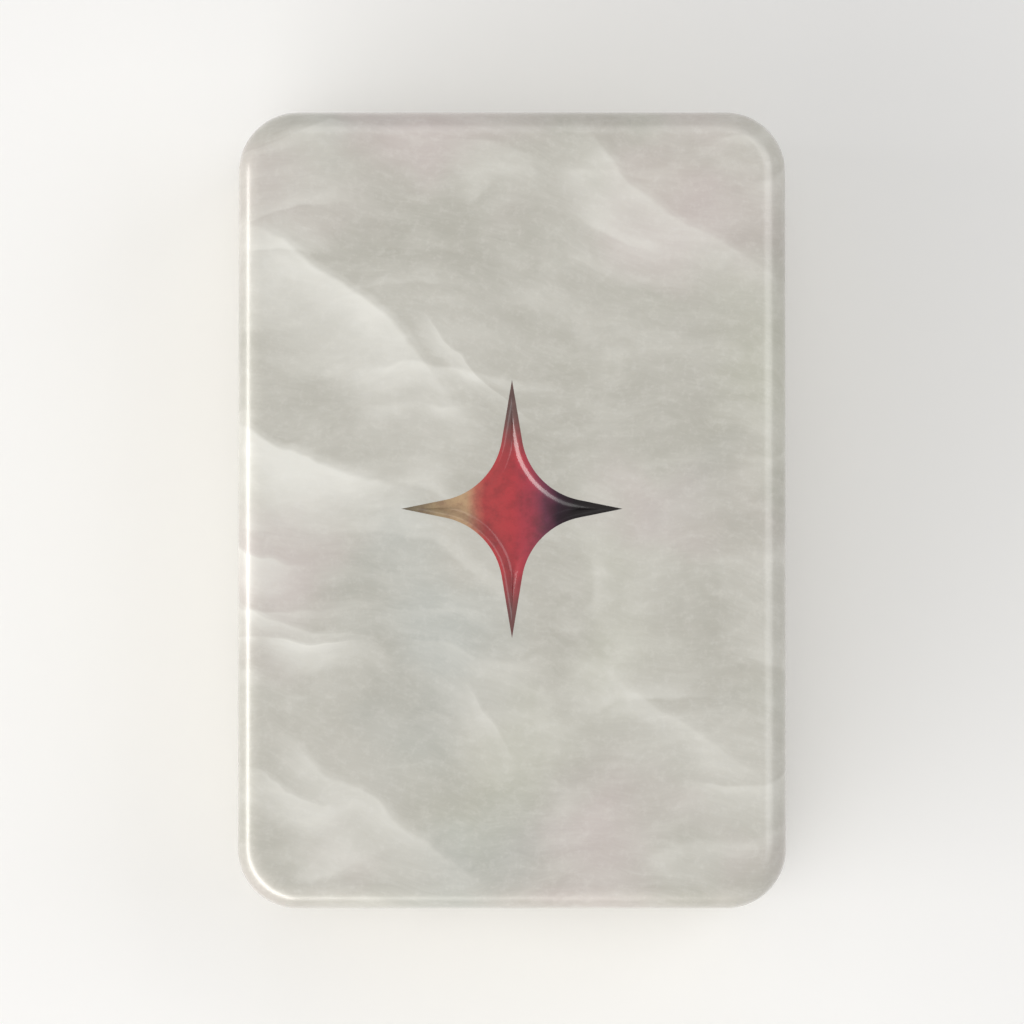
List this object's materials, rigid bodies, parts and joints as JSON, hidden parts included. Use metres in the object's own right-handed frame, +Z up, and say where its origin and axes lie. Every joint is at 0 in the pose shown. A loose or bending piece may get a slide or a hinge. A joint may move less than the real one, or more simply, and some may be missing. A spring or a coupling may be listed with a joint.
{
  "type": "mahjong tile",
  "caption": "Rounded mahjong tile for table play: a pearl back with an engraved and painted star, bonded to a solid, plain face block.",
  "frame": {"origin": "centre of the plain play face, on the surface that the tile lies on", "axes": "+Z up through the star, +Y along the length towards the star's upper point, +X across the width"},
  "size_m": [0.022, 0.032, 0.0127],
  "materials": {
    "face": "polished, solid warm white acrylic",
    "bond": "clear adhesive film, flush at the edges",
    "pearl": "polished pearl acrylic with pale wisps and faint tints",
    "red_paint": "gloss enamel",
    "gold_paint": "satin gold enamel",
    "black_paint": "gloss enamel",
    "upper_paint": "gloss enamel",
    "lower_paint": "gloss enamel"
  },
  "bodies": {
    "root": {"face_block": "face", "bond_film": "bond", "pearl_back": "pearl", "star_red_paint": "red_paint", "star_gold_paint": "gold_paint", "star_black_paint": "black_paint", "star_upper_paint": "upper_paint", "star_lower_paint": "lower_paint"}
  },
  "joints": []
}
